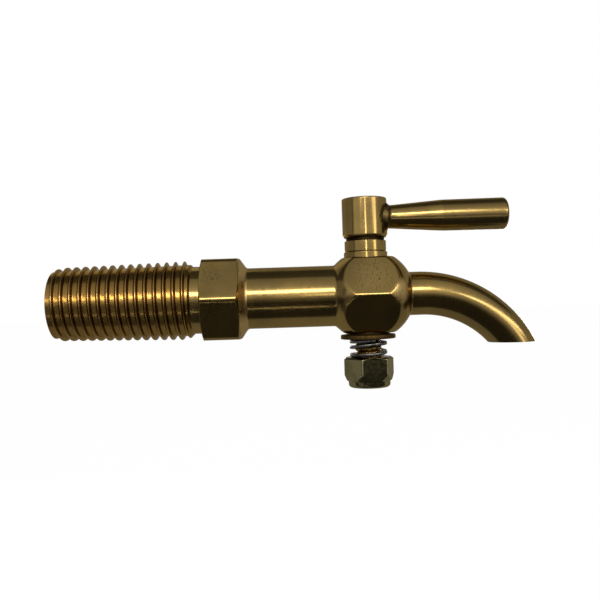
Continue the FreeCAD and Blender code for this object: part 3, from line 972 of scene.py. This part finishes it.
def spout_material(finishes):
    """Polished brass tube."""
    return Brass("spout brass", finishes, (0.16, 0.22), (150.0, 1500.0, 150.0)).finish()


def plug_material(finishes, groove_bottom, groove_top):
    """Turned brass with scale where the lever is brazed in, and painted shade in the groove under the boss.
    """
    brass = Brass("turned brass", finishes, (0.12, 0.17), (150.0, 150.0, 2500.0))
    upward = place_on(brass.tree, brass.place, "Z")
    # Painted shade in the groove under the boss.
    brass.lay(between_places(brass.tree, upward, groove_bottom, groove_top, 0.05 * MM), finishes.painted_shade, 0.3)
    brass.scale()
    return brass.finish()


def lever_material(finishes, grip_start):
    """Turned brass with scale at its brazed joint, and a grip dulled by hands."""
    brass = Brass("lever brass", finishes, (0.16, 0.22), (2500.0, 150.0, 150.0))
    along = place_on(brass.tree, brass.place, "X")
    brass.lay(ranged(brass.tree, along, grip_start - 0.3 * MM, grip_start + 0.3 * MM), finishes.olive, 0.04)
    brass.scale()
    return brass.finish()


def plain_metal_material(name, base_colour, dark_share, edge, low_roughness, high_roughness, grain_scale):
    """A duller metal with mottled colour and a fine grain."""
    material, tree, place = start_material(name)
    dark_colour = darkened(base_colour, dark_share)
    mottle = ranged(tree, noise(tree, place, grain_scale, 6.0, 0.65), 0.4, 0.68)
    base = mix_colours(tree, mottle, base_colour, dark_colour)
    grain = noise(tree, place, 4.0 * grain_scale, 4.0)
    roughness = ranged(tree, grain, 0.3, 0.7, low_roughness, high_roughness)
    finish_metal(tree, base, edge, roughness, grain, 0.2, 0.04 * MM)
    return material


def nut_material(finishes, corner_radius):
    """Passivated zinc, rubbed bright on the edges and lighter there as a painted highlight, with painted
    shade on its top under the spring.
    """
    material, tree, place = start_material("passivated zinc")
    mottle = ranged(tree, noise(tree, place, 240.0, 5.0), 0.4, 0.68)
    base = mix_colours(tree, mottle, finishes.zinc, darkened(finishes.zinc, 0.75))
    # Lighter zinc on the edges and corners: partly real wear, partly a painted highlight.
    edges = add_node(tree, "ShaderNodeNewGeometry").outputs["Pointiness"]
    radius = radius_about(tree, place, (PLUG_X, 0.0, 0.0), (1.0, 1.0, 0.0))
    corners = ranged(tree, radius, corner_radius - 0.18 * MM, corner_radius - 0.12 * MM)
    wear_and_highlight = joined(tree, (ranged(tree, edges, 0.515, 0.56), corners))
    base = mix_colours(tree, wear_and_highlight, base, finishes.worn_zinc_and_highlight)
    # Painted shade on the nut's top, under the spring.
    upward = place_on(tree, place, "Z")
    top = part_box("lock_nut")[1].z
    painted_top_shade = times(tree, ranged(tree, upward, top - 0.6 * MM, top - 0.45 * MM), 0.85)
    base = mix_colours(tree, painted_top_shade, base, finishes.painted_shade)
    grain = noise(tree, place, 1200.0, 4.0)
    roughness = ranged(tree, grain, 0.3, 0.7, 0.10, 0.18)
    roughness = maths(tree, "ADD", roughness, times(tree, wear_and_highlight, 0.2))
    finish_metal(tree, base, finishes.edge, roughness, grain, 0.15, 0.03 * MM)
    return material


def nylon_material(name, base_colour):
    material, tree, place = start_material(name)
    shade = ranged(tree, noise(tree, place, 300.0), 0.35, 0.7)
    base = mix_colours(tree, shade, base_colour, darkened(base_colour, 0.8))
    bump = add_node(tree, "ShaderNodeBump", None, {
        "Strength": 0.2, "Distance": 0.05 * MM, "Height": noise(tree, place, 1500.0)})
    surface = add_node(tree, "ShaderNodeBsdfPrincipled", None, {
        "Base Color": base, "Roughness": 0.45, "Subsurface Weight": 0.1, "Normal": bump.outputs["Normal"]})
    surface.inputs["Subsurface Radius"].default_value = (0.5 * MM, 0.5 * MM, 0.4 * MM)
    set_surface(tree, surface.outputs["BSDF"])
    return material


def dress(piece, material, body, node, smooth_angle=SMOOTH_ANGLE):
    """Give a finished piece its material, body, CAD node and material slot."""
    smooth(piece, smooth_angle)
    piece.data.materials.clear()
    piece.data.materials.append(material)
    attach(piece, body)
    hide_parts(node)


class TAP_OT_body(Operator):
    """Model the tail, collar, barrel and ball as one brass piece"""
    bl_idname = "tap.body"
    bl_label = "Tap body"

    def execute(self, context):
        tail_sizes = context.scene.tap_tail
        body_sizes = context.scene.tap_body
        tail = make_tail(tail_sizes)
        cut_away(tail, make_bore(tail_sizes))
        collar = make_collar(body_sizes)
        ball = make_ball(body_sizes, context.scene.tap_spout.root)
        body = join_pieces([collar, tail, ball])
        body.name = "brass_body"
        material = body_material(context.scene.tap_finishes, tail_sizes, body_sizes.collar_length)
        dress(body, material, "body", "tap_body", BODY_SMOOTH_ANGLE)
        return {"FINISHED"}


class TAP_OT_spout(Operator):
    """Model the curved spout"""
    bl_idname = "tap.spout"
    bl_label = "Spout"

    def execute(self, context):
        spout = make_spout(context.scene.tap_spout)
        material = spout_material(context.scene.tap_finishes)
        dress(spout, material, "body", "spout")
        return {"FINISHED"}


class TAP_OT_plug(Operator):
    """Model the plug's neck, boss and threaded stud"""
    bl_idname = "tap.plug"
    bl_label = "Plug"

    def execute(self, context):
        sizes = context.scene.tap_handle
        boss = make_boss(sizes)
        stud = make_stud(context.scene.tap_stack)
        plug = join_pieces([boss, stud])
        plug.name = "plug_and_boss"
        groove_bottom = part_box("tap_body")[1].z + sizes.neck_gap + sizes.neck_height
        groove_top = groove_bottom + sizes.groove_height
        material = plug_material(context.scene.tap_finishes, groove_bottom, groove_top)
        dress(plug, material, "plug", "plug")
        return {"FINISHED"}


class TAP_OT_lever(Operator):
    """Model the lever with its brazed joint"""
    bl_idname = "tap.lever"
    bl_label = "Lever"

    def execute(self, context):
        lever = make_lever(context.scene.tap_handle)
        grip_start = PLUG_X + context.scene.tap_handle.lever_flare_reach
        material = lever_material(context.scene.tap_finishes, grip_start)
        dress(lever, material, "plug", "lever")
        return {"FINISHED"}


class TAP_OT_fastenings(Operator):
    """Model the washer, spring, lock nut and insert under the ball"""
    bl_idname = "tap.fastenings"
    bl_label = "Washer, spring and nut"

    def execute(self, context):
        sizes = context.scene.tap_stack
        finishes = context.scene.tap_finishes
        edge = finishes.edge
        washer_finish = plain_metal_material("washer brass", finishes.washer, 0.6, edge, 0.5, 0.65, 350.0)
        dress(make_washer(sizes), washer_finish, "plug", "tension_washer")
        spring_finish = plain_metal_material("spring steel", finishes.steel, 0.5, edge, 0.2, 0.35, 500.0)
        dress(make_spring(sizes), spring_finish, "plug", "spring")
        nut_finish = nut_material(finishes, sizes.nut_flats / math.sqrt(3))
        dress(make_nut(sizes), nut_finish, "plug", "lock_nut")
        dress(make_insert(sizes), nylon_material("nylon", finishes.nylon), "plug", "nut_insert")
        return {"FINISHED"}


def add_world():
    """A plain white surround."""
    world = bpy.data.worlds.new("studio")
    bpy.context.scene.world = world
    world.use_nodes = True
    tree = world.node_tree
    tree.nodes.clear()
    background = add_node(tree, "ShaderNodeBackground", None, {"Color": (1, 1, 1, 1), "Strength": 1.0})
    set_surface(tree, background.outputs["Background"], "ShaderNodeOutputWorld")


def add_floor(settings):
    bpy.ops.mesh.primitive_plane_add(size=12.0, location=(0, 0, -settings.floor_drop))
    floor = bpy.context.object
    floor.name = "floor"
    bpy.ops.object.transform_apply(location=True, rotation=True, scale=True)
    material, tree, _ = start_material("pale floor")
    diffuse = add_node(tree, "ShaderNodeBsdfDiffuse", None, {"Color": settings.floor_colour})
    glow = add_node(tree, "ShaderNodeEmission", None, {"Color": (1, 1, 1, 1), "Strength": 1.0})
    path = add_node(tree, "ShaderNodeLightPath")
    seen = maths(tree, "MAXIMUM", path.outputs["Is Camera Ray"], path.outputs["Is Glossy Ray"])
    seen = maths(tree, "MAXIMUM", seen, path.outputs["Is Transmission Ray"])
    share = times(tree, seen, 0.9)
    mix = add_node(tree, "ShaderNodeMixShader", None, {
        0: share, 1: diffuse.outputs[0], 2: glow.outputs[0]})
    set_surface(tree, mix.outputs[0])
    floor.data.materials.append(material)


def aim(thing, target):
    thing.rotation_euler = (Vector(target) - thing.location).to_track_quat("-Z", "Y").to_euler()


def round_tap(angle, distance, along=CARD_MIDDLE):
    """A place round the tail's axis: 0 degrees is towards the camera and 90 degrees is up."""
    turn = math.radians(angle)
    return Vector((along, -distance * math.cos(turn), distance * math.sin(turn)))


def glow_only_in_reflections(card, start, across, start_level, end_level):
    """Give a card a grey glow that runs evenly from its start to its end, seen only in reflections."""
    material, tree, place = start_material(card.name)
    offset = vector_maths(tree, "SUBTRACT", place, start).outputs["Vector"]
    share = vector_maths(tree, "DOT_PRODUCT", offset, across / across.length_squared).outputs["Value"]
    level = ranged(tree, share, 0.0, 1.0, start_level, end_level)
    grey = add_node(tree, "ShaderNodeEmission", None, {"Color": (1, 1, 1, 1), "Strength": level})
    set_surface(tree, grey.outputs[0])
    card.data.materials.append(material)
    card.visible_camera = False
    card.visible_diffuse = False
    card.visible_transmission = False
    card.visible_shadow = False


def add_card(name, start, end, start_level, end_level, card_length=CARD_LENGTH):
    """A grey card between two places round the tap, as long as the stage unless a length is given."""
    across = end - start
    turn = math.atan2(across.z, across.y)
    bpy.ops.mesh.primitive_plane_add(size=1.0, location=(start + end) / 2, rotation=(turn, 0, 0))
    card = bpy.context.object
    card.name = name
    card.scale = (card_length, across.length, 1.0)
    bpy.ops.object.transform_apply(location=True, rotation=True, scale=True)
    glow_only_in_reflections(card, start, across, start_level, end_level)


def add_side_card(name, start, end, low, high, level):
    """An upright grey card between two places on the floor plan."""
    across = end - start
    turn = math.atan2(across.y, across.x)
    middle = (start + end) / 2 + Vector((0, 0, (low + high) / 2))
    bpy.ops.mesh.primitive_plane_add(size=1.0, location=middle, rotation=(math.pi / 2, 0, turn))
    card = bpy.context.object
    card.name = name
    card.scale = (across.length, high - low, 1.0)
    bpy.ops.object.transform_apply(location=True, rotation=True, scale=True)
    glow_only_in_reflections(card, start, across, level, level)


def add_lamp(name, location, target, width, height, radiance, roll=0.0, tint=LAMP_TINT, grid=0.0):
    """A soft rectangular lamp, rolled by some degrees, and held to a beam if it has a grid."""
    bpy.ops.object.light_add(type="AREA", location=location)
    lamp = bpy.context.object
    lamp.name = name
    lamp.data.shape = "RECTANGLE"
    lamp.data.size = width
    lamp.data.size_y = height
    lamp.data.energy = radiance * math.pi * width * height
    lamp.data.color = tint
    if grid:
        half = math.radians(grid) / 2
        lamp.data.spread = 2 * half
        lamp.data.energy *= 1 - half / math.tan(half)
    aim(lamp, target)
    bpy.ops.transform.rotate(value=math.radians(roll), orient_axis="Z", orient_type="LOCAL")
    lamp.visible_camera = False


def add_camera(settings):
    bpy.ops.object.camera_add(
        location=(settings.camera_across, -settings.camera_distance, -settings.camera_below),
        rotation=(math.pi / 2, settings.camera_roll, 0))
    camera = bpy.context.object
    camera.name = "camera"
    camera.data.lens = settings.lens
    camera.data.sensor_width = 36.0
    camera.data.clip_start = 0.01
    camera.data.clip_end = 50.0
    bpy.context.scene.camera = camera


class TAP_OT_stage(Operator):
    """Set up the floor, lamps, grey cards and camera"""
    bl_idname = "tap.stage"
    bl_label = "Stage"

    def execute(self, context):
        settings = context.scene.tap_stage
        context.scene.view_settings.view_transform = "Standard"
        add_world()
        add_floor(settings)
        boss = Vector((PLUG_X, 0, LEVER_Z))
        add_card("card front low", round_tap(-80, 0.11), round_tap(-14, 0.11), 0.045, 0.045)
        add_card("card front", round_tap(-14, 0.30), round_tap(13, 0.30), 0.06, 0.9)
        add_card("card front high", round_tap(30, 0.35), round_tap(76, 0.35), 0.9, 0.5)
        add_card("card overhead", round_tap(76, 0.35), round_tap(118, 0.35), 0.12, 0.08)
        add_card("card back high", round_tap(118, 0.35), round_tap(180, 0.35), 0.45, 0.5)
        add_card("card back low", round_tap(180, 0.35), round_tap(228, 0.15), 0.45, 0.4)
        add_card("card under", round_tap(228, 0.15), round_tap(280, 0.11), 0.4, 0.35)
        tail_low = round_tap(-80, 0.105, -0.083)
        tail_high = round_tap(-14, 0.105, -0.083)
        add_card("card tail low", tail_low, tail_high, 0.09, 0.22, 0.134)
        for name, sign, level in (("card left", -1, 0.4), ("card right", 1, 0.5)):
            side = CARD_MIDDLE + sign * CARD_LENGTH / 2
            add_side_card(name, Vector((side, -0.36, 0)), Vector((side, 0.36, 0)), -0.11, 0.36, level)
        add_side_card("dark line", Vector((-0.230, -0.105, 0)), Vector((-0.226, -0.120, 0)), 0.0, 0.1, 0.03)
        key_place = round_tap(22.5, 0.33, 0.035)
        add_lamp("key strip", key_place, (key_place.x, 0, 0), 0.23, 0.052, 14.0, -8.0)
        tail_place = round_tap(14.5, 0.33, -0.135)
        add_lamp("tail strip", tail_place, (-0.055, 0, 0), 0.14, 0.04, 24.0, -28.0, TAIL_TINT, 26.0)
        bend_place = round_tap(27.0, 0.33, 0.385)
        add_lamp("bend strip", bend_place, (0.09, 0, 0), 0.37, 0.05, 8.0)
        low_place = round_tap(-37, 0.085, -0.019)
        add_lamp("low line", low_place, (low_place.x, 0, 0), 0.122, 0.002, 3.0)
        add_lamp("boss strip near", (0.049, -0.28, 0.055), (0.049, 0, 0.043), 0.02, 0.07, 14.0, grid=18.0)
        add_lamp("boss strip far", (0.33, -0.28, 0.055), boss, 0.14, 0.07, 3.5)
        add_lamp("tail rim", round_tap(142, 0.29, -0.095), (-0.025, 0, 0), 0.16, 0.24, 0.6, grid=70.0)
        add_lamp("back strip tail", round_tap(180, 0.29, -0.11), (-0.11, 0, 0), 0.28, 0.02, 8.0)
        add_lamp("back strip spout", round_tap(180, 0.29, 0.205), (0.205, 0, 0), 0.19, 0.02, 8.0)
        add_camera(settings)
        return {"FINISHED"}


class TAP_PT_panel(Panel):
    """Lists the steps that model the tap"""
    bl_label = "Water butt tap"
    bl_idname = "TAP_PT_panel"
    bl_space_type = "VIEW_3D"
    bl_region_type = "UI"
    bl_category = "Tap"

    def draw(self, context):
        for operator in OPERATORS:
            self.layout.operator(operator.bl_idname)
        for group in SETTINGS:
            box = self.layout.box()
            box.label(text=group)
            settings = getattr(context.scene, group)
            for key in settings.__annotations__:
                box.prop(settings, key)


SETTINGS = {
    "tap_tail": TailSizes,
    "tap_body": BodySizes,
    "tap_spout": SpoutSizes,
    "tap_handle": HandleSizes,
    "tap_stack": StackSizes,
    "tap_finishes": Finishes,
    "tap_stage": StageSettings,
}
OPERATORS = (TAP_OT_body, TAP_OT_spout, TAP_OT_plug, TAP_OT_lever, TAP_OT_fastenings, TAP_OT_stage)


def register():
    for group in SETTINGS.values():
        bpy.utils.register_class(group)
    for operator in OPERATORS:
        bpy.utils.register_class(operator)
    bpy.utils.register_class(TAP_PT_panel)
    for name, group in SETTINGS.items():
        setattr(bpy.types.Scene, name, PointerProperty(type=group))


def unregister():
    for name in SETTINGS:
        delattr(bpy.types.Scene, name)
    bpy.utils.unregister_class(TAP_PT_panel)
    for operator in reversed(OPERATORS):
        bpy.utils.unregister_class(operator)
    for group in reversed(list(SETTINGS.values())):
        bpy.utils.unregister_class(group)


def main():
    register()
    bpy.ops.tap.body()
    bpy.ops.tap.spout()
    bpy.ops.tap.plug()
    bpy.ops.tap.lever()
    bpy.ops.tap.fastenings()
    bpy.ops.tap.stage()


if __name__ == "__main__":
    main()
